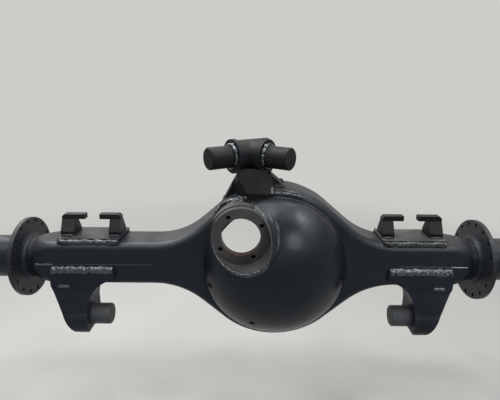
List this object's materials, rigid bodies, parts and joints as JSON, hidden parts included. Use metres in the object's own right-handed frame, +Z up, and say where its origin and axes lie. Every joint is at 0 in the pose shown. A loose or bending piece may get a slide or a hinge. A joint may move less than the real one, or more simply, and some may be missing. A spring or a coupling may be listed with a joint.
{
  "type": "axle housing",
  "caption": "Welded banjo housing of a heavy drive axle, with a domed cover, an output boss, brake flanges, spring saddles, a rod tower and rod brackets.",
  "frame": {"origin": "on the wheel axis, midway between the inboard faces of the two brake flanges", "axes": "+X along the axle towards the longer-reaching side of the bowl, -Y out of the domed cover, +Z up"},
  "size_m": [1.95, 0.3147, 0.598],
  "materials": {
    "black_paint": "satin",
    "painted_weld": "gloss"
  },
  "bodies": {
    "root": {"upper_half": "black_paint", "lower_half": "black_paint", "seam_welds": "painted_weld", "dome_cover": "black_paint", "dome_weld_ring": "painted_weld", "output_boss": "black_paint", "boss_weld": "painted_weld", "carrier_ring": "black_paint", "left_spindle": "black_paint", "right_spindle": "black_paint", "left_brake_flange": "black_paint", "right_brake_flange": "black_paint", "left_flange_welds": "painted_weld", "right_flange_welds": "painted_weld", "rod_tower": "black_paint", "tower_welds": "painted_weld", "left_tower_pin": "black_paint", "right_tower_pin": "black_paint", "left_saddle_pad": "black_paint", "right_saddle_pad": "black_paint", "left_outer_hook": "black_paint", "left_inner_hook": "black_paint", "right_outer_hook": "black_paint", "right_inner_hook": "black_paint", "left_saddle_welds": "painted_weld", "right_saddle_welds": "painted_weld", "left_rod_bracket": "black_paint", "right_rod_bracket": "black_paint", "left_rod_pin": "black_paint", "right_rod_pin": "black_paint", "left_bracket_welds": "painted_weld", "right_bracket_welds": "painted_weld"}
  },
  "joints": []
}
